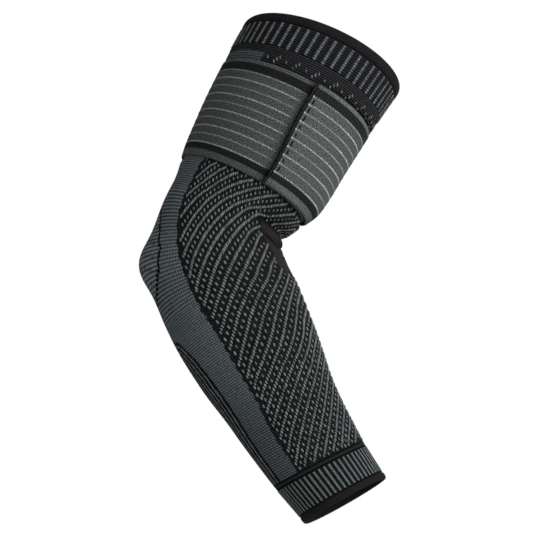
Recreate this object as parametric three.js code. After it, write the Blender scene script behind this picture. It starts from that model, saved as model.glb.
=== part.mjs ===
// Knitted elbow compression sleeve with a wide elastic strap wrapped round its upper arm.
// Millimetres, +Z up. The origin is the centre of the elbow, inside the hollow that the arm fills.
// The sleeve is bent as worn, in the XZ plane: the crook faces +X, the elbow's tip faces -X, the
// upper arm rises towards +X +Z, the forearm drops towards +X -Z and the strap's end shows on -Y.
// A place on the knit is given by along and around. Along runs down the centre line in millimetres,
// negative above the elbow. Around is an angle in degrees, 0 at the crook, -90 on the -Y side.
import * as THREE from 'three';

const { clamp, degToRad, lerp, smoothstep } = THREE.MathUtils;

// Bend and lengths of the sleeve
const elbowBend = 54.1;
const bendRadius = 58;
const upperLength = 162;
const lowerLength = 184;

// Widths across the sleeve, in the plane of the bend
const rimWidth = 118;
const elbowWidth = 93.4;
const wristWidth = 60;

// Knit
const knitWall = 2;
const seamGap = 0.3;
const upperWeltHeight = 6.5;
const lowerWeltHeight = 5.5;
const weltThickness = 3.2;
const upperCuffHeight = 17.5;
const lowerCuffHeight = 20.5;
const ribCount = 56;
const ribHeight = 0.45;

// Strap round the upper arm
const strapWidth = 73.7;
const strapDrop = 36.6;
const strapThickness = 1.6;
const strapGap = 0.3;
const strapEndAngle = -74;
const strapOverlap = 88;
const strapHemLength = 9;
const strapRamp = 24;
const strapProud = 0.5;
const strapEdge = 5;
const strapCrookSpread = 60;
const hookPatchLength = 48;
const hookPatchMargin = 7;
const hookPatchThickness = 1.2;

// How finely the faces divide
const sides = 40;
const weltSides = 8;
const strapStep = 7.5;

// Sections from the upper rim to the forearm's rim.
// at: share of the upper length where negative, of the lower length where positive
// taper: 0 is the elbow's width, 1 the width of the rim on the same side of the elbow
// depth: the size across the plane of the bend, as a share of the width
// shift: how far the middle lies towards the crook, as a share of the width
// tilt: how far the section is turned in the plane of the bend, in degrees
// lean: how much higher the -Y side lies than the middle, as a share of the width
const sections = [
  { at: -1.0, taper: 1.0, depth: 0.95, shift: 0.041, tilt: 3.6, lean: 0.02 },
  { at: -0.8, taper: 0.82, depth: 0.94, shift: 0.022, tilt: 1.1, lean: 0.004 },
  { at: -0.6, taper: 0.68, depth: 0.94, shift: 0.015, tilt: 0.2, lean: 0 },
  { at: -0.4, taper: 0.55, depth: 0.92, shift: 0.023, tilt: -1.0, lean: 0 },
  { at: -0.2, taper: -0.11, depth: 0.9, shift: -0.01, tilt: -1.4, lean: 0 },
  { at: 0.0, taper: 0.0, depth: 0.88, shift: 0.007, tilt: -0.7, lean: 0 },
  { at: 0.2, taper: 0.02, depth: 0.88, shift: -0.008, tilt: -0.2, lean: 0 },
  { at: 0.4, taper: 0.22, depth: 0.87, shift: -0.018, tilt: 0, lean: 0 },
  { at: 0.6, taper: 0.58, depth: 0.86, shift: -0.02, tilt: -0.5, lean: -0.01 },
  { at: 0.8, taper: 0.8, depth: 0.85, shift: 0.011, tilt: -1.2, lean: -0.02 },
  { at: 1.0, taper: 1.0, depth: 0.84, shift: 0.099, tilt: 1.5, lean: 0.016 },
];

// Raised and sunken forms on the knit.
// at: share of the upper length where negative, of the lower length where positive
// around and spread: middle and half width round the sleeve, in degrees
// height and reach: how far the form stands out and runs along, as shares of the elbow's width
const forms = [
  { name: 'elbow tip', at: 0.014, around: 180, spread: 47, height: 0.092, reach: 0.103 },
  { name: 'crook hollow', at: -0.216, around: 0, spread: 47, height: -0.049, reach: 0.47 },
  { name: 'fold over the crook', at: -0.262, around: 0, spread: 62, height: 0.004, reach: 0.05 },
  { name: 'crook crease', at: -0.215, around: 0, spread: 56, height: -0.036, reach: 0.034 },
  { name: 'crook roll', at: -0.187, around: 0, spread: 30, height: 0.012, reach: 0.03 },
  { name: 'lower crease', at: -0.16, around: 0, spread: 34, height: -0.022, reach: 0.028 },
  { name: 'lower roll', at: -0.11, around: 0, spread: 42, height: 0.012, reach: 0.08 },
];

// Rows of the strap and of the knit tube, in bands from the top down.
// to: where the band ends. rows: how many rows divide it
const strapTop = -(upperLength - strapDrop);
const strapLow = strapTop + strapWidth;
const bodyTop = -(upperLength - upperWeltHeight - upperCuffHeight);
const bodyLow = lowerLength - lowerWeltHeight - lowerCuffHeight;
const crookLow = -elbowWidth / 7;
const elbowLow = elbowWidth / 3;
const strapBands = [
  { to: strapTop + hookPatchMargin, rows: 1 },
  { to: strapLow - hookPatchMargin, rows: 5 },
  { to: strapLow, rows: 1 },
];
const bodyBands = [
  { to: strapTop - strapEdge, rows: 1 },
  { to: strapTop, rows: 1 },
  ...strapBands,
  { to: crookLow, rows: 12 },
  { to: elbowLow, rows: 6 },
  { to: bodyLow - seamGap / 2, rows: 8 },
];

// Smooth value of one column between the rows of a table, without overshoot
function columnAt(rows, column, at) {
  const last = rows.length - 1;
  const slope = (i) => (rows[i + 1][column] - rows[i][column]) / (rows[i + 1].at - rows[i].at);
  const tangent = (i) => {
    if (i === 0) return slope(0);
    if (i === last) return slope(last - 1);
    const before = slope(i - 1);
    const after = slope(i);
    return before * after <= 0 ? 0 : (2 * before * after) / (before + after);
  };
  let low = 0;
  while (low < last - 1 && at > rows[low + 1].at) low += 1;
  const span = rows[low + 1].at - rows[low].at;
  const t = (at - rows[low].at) / span;
  const blend = t * t * (3 - 2 * t);
  const value = lerp(rows[low][column], rows[low + 1][column], blend);
  const bulge = t * (1 - t) * span * (tangent(low) * (1 - t) - tangent(low + 1) * t);
  return value + bulge;
}

// Share of its limb at which a place along the sleeve lies
function shareAlong(along) {
  return along < 0 ? along / upperLength : along / lowerLength;
}

function placeAlong(share) {
  return share < 0 ? share * upperLength : share * lowerLength;
}

function widthAt(along) {
  const taper = columnAt(sections, 'taper', shareAlong(along));
  return lerp(elbowWidth, along < 0 ? rimWidth : wristWidth, taper);
}

// Centre line: an arc at the elbow between two straight limbs
function centreAt(along) {
  const half = degToRad(elbowBend) / 2;
  const turn = clamp(along / bendRadius, -half, half);
  const rest = along - turn * bendRadius;
  const pivot = bendRadius / Math.cos(half);
  return {
    x: pivot - bendRadius * Math.cos(turn) + Math.abs(rest) * Math.sin(half),
    z: -bendRadius * Math.sin(turn) - rest * Math.cos(half),
    turn,
  };
}

// Angle from a form's middle, the short way round
function angleBetween(around, middle) {
  return Math.abs(((around - middle + 540) % 360) - 180);
}

function formHeight(along, around) {
  let height = 0;
  for (const form of forms) {
    const far = (along - placeAlong(form.at)) / (form.reach * elbowWidth);
    const aside = angleBetween(around, form.around) / form.spread;
    height += form.height * elbowWidth * Math.exp(-far * far - aside * aside);
  }
  return height;
}

// The strap's faces above the knit, at a turn in degrees from its folded end
const singleOuter = strapGap + strapThickness;
const patchBase = singleOuter + strapGap;
const doubleInner = patchBase + hookPatchThickness + strapGap;
const strapTurn = 360 + strapOverlap;
const turnPerLength = 1 / degToRad(rimWidth / 2);
const hemTurn = strapHemLength * turnPerLength;
const hemEdgeTurn = (strapHemLength + strapThickness) * turnPerLength;

function strapFaces(turn) {
  const lift = 1 - smoothstep(turn, strapOverlap, strapOverlap + strapRamp);
  const inner = lerp(strapGap, doubleInner, lift);
  return { inner: turn > hemTurn ? inner : patchBase, outer: inner + strapThickness };
}

// How far the strap presses the knit in: all round, and further at the crook under its two layers
function strapPress(along, around) {
  const above = smoothstep(along, strapTop - strapEdge, strapTop);
  const below = 1 - smoothstep(along, strapLow, strapLow + strapEdge);
  const aside = angleBetween(around, 0) / strapCrookSpread;
  const crook = (doubleInner - strapGap) * Math.exp(-aside * aside);
  return above * below * (singleOuter - strapProud + crook);
}

// A point on the knit, or offset outwards from it
function skinPoint(along, around, offset) {
  const angle = degToRad(around);
  const lean = columnAt(sections, 'lean', shareAlong(along)) * widthAt(along);
  const station = along + lean * Math.sin(angle);
  const share = shareAlong(station);
  const width = widthAt(station);
  const centre = centreAt(station);
  const turn = centre.turn + degToRad(columnAt(sections, 'tilt', share));
  const rise = offset + formHeight(station, around) - strapPress(along, around);
  const half = width / 2;
  const radial = columnAt(sections, 'shift', share) * width + (half + rise) * Math.cos(angle);
  const depth = columnAt(sections, 'depth', share);
  return new THREE.Vector3(
    centre.x + radial * Math.cos(turn),
    (half * depth + rise) * Math.sin(angle),
    centre.z + radial * Math.sin(turn),
  );
}

// Solid from rows of points, each row closed round and the rows closed on themselves
function closedGrid(rows) {
  const count = rows[0].length;
  const positions = rows.flat().flatMap((point) => point.toArray());
  const indices = [];
  rows.forEach((row, i) => {
    const here = i * count;
    const next = ((i + 1) % rows.length) * count;
    for (let j = 0; j < count; j += 1) {
      const k = (j + 1) % count;
      indices.push(here + j, next + j, next + k, here + j, next + k, here + k);
    }
  });
  return geometryFrom(positions, indices);
}

// Solid from rows of points, each row closed round and the first and last row filled
function cappedGrid(rows) {
  const count = rows[0].length;
  const positions = rows.flat().flatMap((point) => point.toArray());
  const indices = [];
  for (let i = 0; i < rows.length - 1; i += 1) {
    const here = i * count;
    const next = here + count;
    for (let j = 0; j < count; j += 1) {
      const k = (j + 1) % count;
      indices.push(here + j, here + k, next + k, here + j, next + k, next + j);
    }
  }
  const last = (rows.length - 1) * count;
  for (let j = 0; j < count / 2 - 1; j += 1) {
    const a = j;
    const b = j + 1;
    const c = count - 2 - j;
    const d = count - 1 - j;
    indices.push(a, c, b, a, d, c);
    indices.push(last + a, last + b, last + c, last + a, last + c, last + d);
  }
  return geometryFrom(positions, indices);
}

function geometryFrom(positions, indices) {
  const geometry = new THREE.BufferGeometry();
  geometry.setAttribute('position', new THREE.Float32BufferAttribute(positions, 3));
  geometry.setIndex(indices);
  geometry.computeVertexNormals();
  return geometry;
}

function ring(along, offset, count = sides, wave = () => 0) {
  return Array.from({ length: count }, (_, i) => {
    const around = (i / count) * 360 - 180;
    return skinPoint(along, around, offset + wave(i));
  });
}

// Places along the sleeve that divide each band evenly
function rowPlaces(from, bands) {
  const places = [from];
  for (const band of bands) {
    const start = places[places.length - 1];
    for (let i = 1; i <= band.rows; i += 1) places.push(lerp(start, band.to, i / band.rows));
  }
  return places;
}

// Knit tube between two places: down the outside, back up the inside
function knitTube(places, count, wave) {
  const outside = places.map((along) => ring(along, 0, count, wave));
  const inside = places.map((along) => ring(along, -knitWall, count)).reverse();
  return closedGrid([...outside, ...inside]);
}

function sleeveBody() {
  return knitTube(rowPlaces(bodyTop + seamGap / 2, bodyBands), sides);
}

// Ribs run lengthwise: every second point of a ring stands out
function ribbedCuff(from, to) {
  const places = rowPlaces(from + seamGap / 2, [{ to: to - seamGap / 2, rows: 2 }]);
  return knitTube(places, ribCount * 2, (i) => (i % 2 === 0 ? ribHeight : 0));
}

// Turned hem: a flattened roll whose middle follows the knit
function welt(from, to) {
  const middle = (from + to) / 2;
  const half = (to - from) / 2 - seamGap / 2;
  const rows = Array.from({ length: weltSides }, (_, i) => {
    const angle = degToRad((i / weltSides) * 360 + 180 / weltSides);
    const squash = Math.cos(Math.PI / weltSides);
    const along = middle - (half * Math.cos(angle)) / squash;
    const offset = -knitWall / 2 + ((weltThickness / 2) * Math.sin(angle)) / squash;
    return ring(along, offset);
  });
  return closedGrid(rows);
}

// Band that follows the knit between two faces, through the given turns from the strap's end
function strapBand(turns, places, faces) {
  return cappedGrid(turns.map((turn) => {
    const around = strapEndAngle + turn;
    const { inner, outer } = faces(turn);
    const face = (offset) => places.map((along) => skinPoint(along, around, offset));
    return [...face(outer), ...face(inner).reverse()];
  }));
}

function strap() {
  const turns = rowPlaces(0, [
    { to: hemTurn, rows: 2 },
    { to: hemEdgeTurn, rows: 1 },
    { to: strapTurn, rows: Math.ceil((strapTurn - hemEdgeTurn) / strapStep) },
  ]);
  return strapBand(turns, rowPlaces(strapTop, strapBands), strapFaces);
}

function hookPatch() {
  const from = (strapHemLength + hookPatchMargin) * turnPerLength;
  const length = hookPatchLength * turnPerLength;
  const turns = rowPlaces(from, [{ to: from + length, rows: Math.ceil(length / strapStep) }]);
  const faces = () => ({ inner: patchBase, outer: patchBase + hookPatchThickness });
  return strapBand(turns, rowPlaces(strapTop, strapBands).slice(1, -1), faces);
}

function piece(name, geometry, color, roughness) {
  const material = new THREE.MeshStandardMaterial({ color, roughness, metalness: 0 });
  const mesh = new THREE.Mesh(geometry, material);
  mesh.name = name;
  return mesh;
}

const sleeve = new THREE.Group();
sleeve.add(
  piece('upper_welt', welt(-upperLength, bodyTop - upperCuffHeight), '#232325', 0.9),
  piece('upper_cuff', ribbedCuff(bodyTop - upperCuffHeight, bodyTop), '#2b2c2e', 0.9),
  piece('sleeve_body', sleeveBody(), '#303233', 0.9),
  piece('lower_cuff', ribbedCuff(bodyLow, bodyLow + lowerCuffHeight), '#343738', 0.9),
  piece('lower_welt', welt(bodyLow + lowerCuffHeight, lowerLength), '#1e1e20', 0.9),
  piece('strap', strap(), '#4d4f50', 0.8),
  piece('hook_patch', hookPatch(), '#141415', 0.7),
);

export default sleeve;
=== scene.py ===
import math

import bpy
import numpy as np
from mathutils import Matrix, Vector


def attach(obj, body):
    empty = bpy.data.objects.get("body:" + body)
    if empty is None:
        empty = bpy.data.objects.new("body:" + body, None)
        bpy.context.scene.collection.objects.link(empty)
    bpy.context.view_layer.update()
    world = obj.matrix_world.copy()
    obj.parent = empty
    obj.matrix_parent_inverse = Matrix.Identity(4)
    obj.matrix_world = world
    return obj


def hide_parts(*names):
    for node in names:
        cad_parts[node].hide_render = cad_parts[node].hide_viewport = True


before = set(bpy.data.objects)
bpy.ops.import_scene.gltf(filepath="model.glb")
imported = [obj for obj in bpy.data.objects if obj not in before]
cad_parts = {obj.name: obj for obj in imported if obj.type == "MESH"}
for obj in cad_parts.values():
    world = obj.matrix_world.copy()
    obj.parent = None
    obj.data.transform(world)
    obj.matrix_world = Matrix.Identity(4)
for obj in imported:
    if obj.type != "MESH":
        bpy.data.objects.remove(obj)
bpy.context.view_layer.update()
mm = 0.001

sleeve = {
    "elbowBend": 54.1,
    "bendRadius": 58,
    "upperLength": 162,
    "lowerLength": 184,
    "rimWidth": 118,
    "elbowWidth": 93.4,
    "wristWidth": 60,
    "roundness": 0.93,   # mean width as a share of the width in the plane of the bend
    "wall": 2,
    "bodyTop": -137.97,
    "bodyLow": 157.97,
    "wales": 336,        # columns of the mesh, 0.8 mm wide at the elbow
    "courses": 205,      # rows of the mesh, 1.44 mm high
    "innerRows": 46,
}

# at, taper, depth, shift, tilt, lean
sections = np.array([
    (-1.0, 1.0, 0.95, 0.041, 3.6, 0.02),
    (-0.8, 0.82, 0.94, 0.022, 1.1, 0.004),
    (-0.6, 0.68, 0.94, 0.015, 0.2, 0),
    (-0.4, 0.55, 0.92, 0.023, -1.0, 0),
    (-0.2, -0.11, 0.9, -0.01, -1.4, 0),
    (0.0, 0.0, 0.88, 0.007, -0.7, 0),
    (0.2, 0.02, 0.88, -0.008, -0.2, 0),
    (0.4, 0.22, 0.87, -0.018, 0, 0),
    (0.6, 0.58, 0.86, -0.02, -0.5, -0.01),
    (0.8, 0.8, 0.85, 0.011, -1.2, -0.02),
    (1.0, 1.0, 0.84, 0.099, 1.5, 0.016),
])
columns = {"taper": 1, "depth": 2, "shift": 3, "tilt": 4, "lean": 5}

# The solids' own forms: along, around, spread, height and reach, in millimetres and degrees
forms = [
    (2.6, 180, 47, 8.6, 9.6),     # elbow tip
    (-35.0, 0, 47, -4.6, 43.9),   # crook hollow
    (-42.4, 0, 62, 0.37, 4.7),    # fold over the crook
    (-34.8, 0, 56, -3.4, 3.2),    # crook crease
    (-30.3, 0, 30, 1.12, 2.8),    # crook roll
    (-25.9, 0, 34, -2.05, 2.6),   # lower crease
    (-17.8, 0, 42, 1.12, 7.5),    # lower roll
]

strap = {
    "top": -125.4,
    "low": -51.7,
    "thickness": 1.6,
    "gap": 0.3,
    "patch": 1.2,
    "endAngle": -74,
    "overlap": 88,
    "hem": 9,
    "ramp": 24,
    "proud": 0.5,
    "edge": 5,
    "crookSpread": 60,
}


# Shape of the sleeve, the same rule as the solids follow

def smoothStep(value, low, high):
    t = np.clip((value - low) / (high - low), 0, 1)
    return t * t * (3 - 2 * t)


def smoothValue(places, values, at):
    slopes = np.diff(values) / np.diff(places)
    before, after = slopes[:-1], slopes[1:]
    total = np.where(before * after > 0, before + after, 1)
    middle = np.where(before * after > 0, 2 * before * after / total, 0)
    tangents = np.concatenate([slopes[:1], middle, slopes[-1:]])
    low = np.clip(np.searchsorted(places, at) - 1, 0, len(places) - 2)
    span = places[low + 1] - places[low]
    t = (at - places[low]) / span
    value = values[low] + (values[low + 1] - values[low]) * t * t * (3 - 2 * t)
    return value + t * (1 - t) * span * (tangents[low] * (1 - t) - tangents[low + 1] * t)


def columnAt(column, at):
    return smoothValue(sections[:, 0], sections[:, columns[column]], at)


def shareAlong(along):
    return np.where(along < 0, along / sleeve["upperLength"], along / sleeve["lowerLength"])


def widthAt(along):
    taper = columnAt("taper", shareAlong(along))
    end = np.where(along < 0, sleeve["rimWidth"], sleeve["wristWidth"])
    return sleeve["elbowWidth"] + (end - sleeve["elbowWidth"]) * taper


def angleBetween(around, middle):
    return np.abs((around - middle + 540) % 360 - 180)


def formHeight(along, around):
    height = 0 * along * around
    for at, middle, spread, rise, reach in forms:
        far = (along - at) / reach
        aside = angleBetween(around, middle) / spread
        height = height + rise * np.exp(-far * far - aside * aside)
    return height


singleOuter = strap["gap"] + strap["thickness"]
patchBase = singleOuter + strap["gap"]
doubleInner = patchBase + strap["patch"] + strap["gap"]
turnPerLength = 360 / (math.pi * sleeve["rimWidth"])
strapTurn = 360 + strap["overlap"]


def strapPress(along, around):
    above = smoothStep(along, strap["top"] - strap["edge"], strap["top"])
    below = 1 - smoothStep(along, strap["low"], strap["low"] + strap["edge"])
    aside = angleBetween(around, 0) / strap["crookSpread"]
    crook = (doubleInner - strap["gap"]) * np.exp(-aside * aside)
    return above * below * (singleOuter - strap["proud"] + crook)


# Points on the knit in metres, or offset outwards from it by millimetres
def skinPoints(along, around, offset=0):
    along, around, offset = np.broadcast_arrays(
        np.asarray(along, float), np.asarray(around, float), np.asarray(offset, float))
    angle = np.radians(around)
    lean = columnAt("lean", shareAlong(along)) * widthAt(along)
    station = along + lean * np.sin(angle)
    share = shareAlong(station)
    width = widthAt(station)
    half = math.radians(sleeve["elbowBend"]) / 2
    radius = sleeve["bendRadius"]
    bend = np.clip(station / radius, -half, half)
    rest = station - bend * radius
    x = radius / math.cos(half) - radius * np.cos(bend) + np.abs(rest) * math.sin(half)
    z = -radius * np.sin(bend) - rest * math.cos(half)
    turn = bend + np.radians(columnAt("tilt", share))
    rise = offset + formHeight(station, around) - strapPress(along, around)
    radial = columnAt("shift", share) * width + (width / 2 + rise) * np.cos(angle)
    y = (width / 2 * columnAt("depth", share) + rise) * np.sin(angle)
    return np.stack([x + radial * np.cos(turn), y, z + radial * np.sin(turn)], -1) * mm


# Directions on the knit: down the sleeve, round it and out of it
def skinAxes(along, around, step=0.5):
    down = skinPoints(along + step, around) - skinPoints(along - step, around)
    aside = skinPoints(along, around + step) - skinPoints(along, around - step)
    down /= np.linalg.norm(down, axis=-1, keepdims=True)
    aside /= np.linalg.norm(aside, axis=-1, keepdims=True)
    return down, aside, np.cross(down, aside)


# Materials

# Elastic yarn of textured polyester and nylon: its crimped fibres scatter the light, so it is
# matt, with next to no gloss and a trace of sheen. Scales of noise are counts to a metre, so a
# scale of 1500 gives grains of 0.7 mm
fibres = {
    "sheen": 0.006,
    "sheenRoughness": 0.5,
    "gloss": 0.04,
    "twist": 0.3,         # how much a yarn's own tone varies along its twist
    "twistDepth": 0.15,
}

# A knit stitch is two slanting legs
stitchForm = {"lean": 0.9, "legAt": 0.25, "legSharp": 3.2}

# How sharp the grooves between rows and between fine rows are, and how dark the painted shade in
# the fine ones
rowSharp, fineSharp, fineShade = 2, 4, 0.92

# Steps that turn a count into rounded ridges
ridgeSteps = (("FRACT", 0), ("MULTIPLY", math.pi), ("SINE", 0))


def linear(code):
    values = [int(code[i:i + 2], 16) / 255 for i in (1, 3, 5)]
    return [v / 12.92 if v <= 0.04045 else ((v + 0.055) / 1.055) ** 2.4 for v in values]


# Inputs are given in order or by name, and a node given for one links its first output
def addNode(tree, kind, inputs=(), operation=None, **settings):
    node = tree.nodes.new(kind)
    if operation:
        node.operation = operation
    for key, value in settings.items():
        setattr(node, key, value)
    for key, value in inputs.items() if isinstance(inputs, dict) else enumerate(inputs):
        if isinstance(value, bpy.types.Node):
            value = value.outputs[0]
        if isinstance(value, bpy.types.NodeSocket):
            tree.links.new(value, node.inputs[key])
        else:
            node.inputs[key].default_value = value
    return node


def newMaterial(name, roughness, sheen=fibres["sheen"]):
    material = bpy.data.materials.new(name)
    material.use_nodes = True
    tree = material.node_tree
    shader = tree.nodes["Principled BSDF"]
    shader.inputs["Roughness"].default_value = roughness
    shader.inputs["Sheen Weight"].default_value = sheen
    shader.inputs["Sheen Roughness"].default_value = fibres["sheenRoughness"]
    shader.inputs["Specular IOR Level"].default_value = fibres["gloss"]
    return material, tree, shader


# The last nodes of a material: its colour times its shade, and its relief
def finishMaterial(tree, shader, color, shade, height, strength, depth):
    base = addNode(tree, "ShaderNodeMix", {0: 1, 6: color, 7: shade},
                   data_type="RGBA", blend_type="MULTIPLY")
    tree.links.new(base.outputs[2], shader.inputs["Base Color"])
    bump = addNode(tree, "ShaderNodeBump", {
        "Height": height, "Strength": strength, "Distance": depth * mm})
    tree.links.new(bump.outputs[0], shader.inputs["Normal"])
    return bump


# Stitch height from the knit's own map: wales across, courses down
def stitchHeight(tree, wale, course):
    across = wale
    for operation, value in (("FRACT", 0), ("SUBTRACT", 0.5), ("ABSOLUTE", 0)):
        across = addNode(tree, "ShaderNodeMath", (across, value), operation)
    ridge = addNode(tree, "ShaderNodeMath", (across, stitchForm["lean"], course), "MULTIPLY_ADD")
    for operation, value in ridgeSteps:
        ridge = addNode(tree, "ShaderNodeMath", (ridge, value), operation)
    leg = across
    for operation, *values in (("SUBTRACT", stitchForm["legAt"]), ("ABSOLUTE",),
                               ("MULTIPLY_ADD", -stitchForm["legSharp"], 1)):
        leg = addNode(tree, "ShaderNodeMath", (leg, *values), operation)
    return addNode(tree, "ShaderNodeMath", (leg, ridge), "MULTIPLY", use_clamp=True)


# Knit coloured by its chart. Its relief says how deep the rows, the holes and the fine rows are
def knitMaterial(name, look):
    material, tree, shader = newMaterial(name, look["roughness"])
    place = addNode(tree, "ShaderNodeUVMap", uv_map="knit")
    parts = addNode(tree, "ShaderNodeSeparateXYZ", (place,)).outputs
    chart, relief = (
        addNode(tree, "ShaderNodeAttribute", attribute_name=title).outputs["Color"]
        for title in ("chart", "relief"))
    rowDepth, holeDepth, fineDepth = addNode(tree, "ShaderNodeSeparateColor", (relief,)).outputs
    wale, gap, course, row, fineRow = (
        addNode(tree, "ShaderNodeMath", (part, look[count]), "MULTIPLY")
        for part, count in (
            (parts[0], "walesPerUnit"), (parts[0], "holesPerUnit"), (parts[1], "coursesPerUnit"),
            (parts[1], "rowsPerUnit"), (parts[1], "finePerUnit")))
    for operation, value in ridgeSteps:
        gap, row, fineRow = (
            addNode(tree, "ShaderNodeMath", (ridge, value), operation)
            for ridge in (gap, row, fineRow))
    stitch = stitchHeight(tree, wale, course)
    height = addNode(tree, "ShaderNodeMath", (stitch, look["stitchShare"]), "MULTIPLY")
    for ridge, depth in ((row, rowDepth), (fineRow, fineDepth)):
        height = addNode(tree, "ShaderNodeMath", (ridge, depth, height), "MULTIPLY_ADD")
    # Open mesh: small holes between the rows
    hole, closed = (addNode(tree, "ShaderNodeMath", (ridge, ridge), "MULTIPLY")
                    for ridge in (gap, row))
    between = addNode(tree, "ShaderNodeMath", (1, closed), "SUBTRACT")
    for share in (between, holeDepth):
        hole = addNode(tree, "ShaderNodeMath", (hole, share), "MULTIPLY")
    # Painted shade: grooves and holes are darker than the ridges
    shade = addNode(tree, "ShaderNodeMath", (
        stitch, look["stitchShade"], 1 - look["stitchShade"]), "MULTIPLY_ADD")
    for groove, depth, sharp, dark in ((row, rowDepth, rowSharp, look["rowShade"]),
                                       (fineRow, fineDepth, fineSharp, fineShade)):
        for operation, *values in (("POWER", sharp), ("MULTIPLY_ADD", -1, 1), ("MULTIPLY", depth),
                                   ("MULTIPLY_ADD", -dark, 1), ("MULTIPLY", shade)):
            groove = addNode(tree, "ShaderNodeMath", (groove, *values), operation)
        shade = groove
    lit = addNode(tree, "ShaderNodeMath", (hole, -look["holeShade"], 1), "MULTIPLY_ADD")
    shade = addNode(tree, "ShaderNodeMath", (shade, lit), "MULTIPLY", use_clamp=True)
    spot = addNode(tree, "ShaderNodeTexCoord").outputs["Object"]
    fleck = addNode(tree, "ShaderNodeTexNoise", {
        "Vector": spot, "Scale": look["fleckScale"], "Detail": 2.0})
    tone = addNode(tree, "ShaderNodeMapRange", {
        "Value": fleck, "From Min": 0.3, "From Max": 0.7,
        "To Min": 1 - look["fleck"], "To Max": 1 + look["fleck"]})
    shade = addNode(tree, "ShaderNodeMath", (shade, tone), "MULTIPLY")
    height = addNode(tree, "ShaderNodeMath", (height, hole), "SUBTRACT")
    finishMaterial(tree, shader, chart, shade, height, look["bump"], look["bumpDepth"])
    return material


# One yarn: a colour with a fine twist, lighter or darker by the stitch's own tone
def yarnMaterial(name, look):
    material, tree, shader = newMaterial(name, look["roughness"])
    tone = addNode(tree, "ShaderNodeAttribute", attribute_name="tone").outputs["Fac"]
    spot = addNode(tree, "ShaderNodeTexCoord").outputs["Object"]
    twist = addNode(tree, "ShaderNodeTexNoise", {
        "Vector": spot, "Scale": look["twistScale"], "Detail": 3.0})
    shade = addNode(tree, "ShaderNodeMath", (twist, fibres["twist"], 1 - fibres["twist"] / 2),
                    "MULTIPLY_ADD")
    shade = addNode(tree, "ShaderNodeMath", (tone, shade), "MULTIPLY")
    color = (*linear(look["color"]), 1)
    finishMaterial(tree, shader, color, shade, twist, 0.5, fibres["twistDepth"])
    return material


# Meshes

# A grid of points closed both ways. The map has one row and one column more than the faces, and
# each value in cells is one face's
def gridPiece(name, points, material, corners, cells):
    rows, cols = points.shape[:2]
    r = np.arange(rows)[:, None]
    c = np.arange(cols)[None, :]
    below, beside = (r + 1) % rows, (c + 1) % cols
    quads = np.stack([r * cols + c, below * cols + c, below * cols + beside, r * cols + beside], -1)
    spots = [(r + i + 0 * c, c + j + 0 * r) for i, j in ((0, 0), (1, 0), (1, 1), (0, 1))]
    mesh = bpy.data.meshes.new(name)
    count = quads.shape[0] * quads.shape[1]
    mesh.vertices.add(rows * cols)
    mesh.vertices.foreach_set("co", points.reshape(-1).astype(np.float32))
    mesh.loops.add(count * 4)
    mesh.loops.foreach_set("vertex_index", quads.reshape(-1).astype(np.int32))
    mesh.polygons.add(count)
    mesh.polygons.foreach_set("loop_start", np.arange(0, count * 4, 4, dtype=np.int32))
    mesh.update()
    layer = mesh.uv_layers.new(name="knit")
    flat = np.stack([np.stack([corners[0][i, j], corners[1][i, j]], -1) for i, j in spots], -2)
    layer.data.foreach_set("uv", flat.reshape(-1).astype(np.float32))
    for title, value in cells.items():
        shown = np.repeat(value.reshape(count, 1, value.shape[-1]), 4, 1)
        attribute = mesh.attributes.new(title, "FLOAT_COLOR", "CORNER")
        full = np.concatenate([shown, np.ones_like(shown[..., :1])], -1)
        attribute.data.foreach_set("color", full.reshape(-1).astype(np.float32))
    mesh.shade_smooth()
    mesh.validate()
    return finished(name, mesh, material)


def finished(name, mesh, material):
    mesh.materials.clear()
    mesh.materials.append(material)
    piece = bpy.data.objects.new(name, mesh)
    bpy.context.scene.collection.objects.link(piece)
    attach(piece, "root")
    return piece


# Geometry Nodes tree that sets a rounded stitch on every point
def stitchTree():
    tree = bpy.data.node_groups.new("set stitches", "GeometryNodeTree")
    face = tree.interface
    for title, kind in (("Points", "Geometry"), ("Width", "Float"), ("Length", "Float"),
                        ("Height", "Float"), ("Yarn", "Material")):
        face.new_socket(title, in_out="INPUT", socket_type="NodeSocket" + kind)
    face.new_socket("Stitches", in_out="OUTPUT", socket_type="NodeSocketGeometry")
    given = addNode(tree, "NodeGroupInput").outputs
    ball = addNode(tree, "GeometryNodeMeshUVSphere", {"Segments": 8, "Rings": 4, "Radius": 0.5})
    down, out, size = (
        addNode(tree, "GeometryNodeInputNamedAttribute", {"Name": title}, data_type=kind)
        for title, kind in (("down", "FLOAT_VECTOR"), ("out", "FLOAT_VECTOR"), ("size", "FLOAT")))
    turned = addNode(tree, "FunctionNodeAxesToRotation", (out, down),
                     primary_axis="Z", secondary_axis="Y")
    shape = addNode(tree, "ShaderNodeCombineXYZ", (
        given["Width"], given["Length"], given["Height"]))
    scaled = addNode(tree, "ShaderNodeVectorMath", {0: shape, "Scale": size}, "SCALE")
    placed = addNode(tree, "GeometryNodeInstanceOnPoints", {
        "Points": given["Points"], "Instance": ball, "Rotation": turned, "Scale": scaled})
    real = addNode(tree, "GeometryNodeRealizeInstances", (placed,))
    smooth = addNode(tree, "GeometryNodeSetShadeSmooth", (real,))
    yarn = addNode(tree, "GeometryNodeSetMaterial", {
        "Geometry": smooth, "Material": given["Yarn"]})
    addNode(tree, "NodeGroupOutput", (yarn,))
    return tree


stitchSetter = stitchTree()


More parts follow.
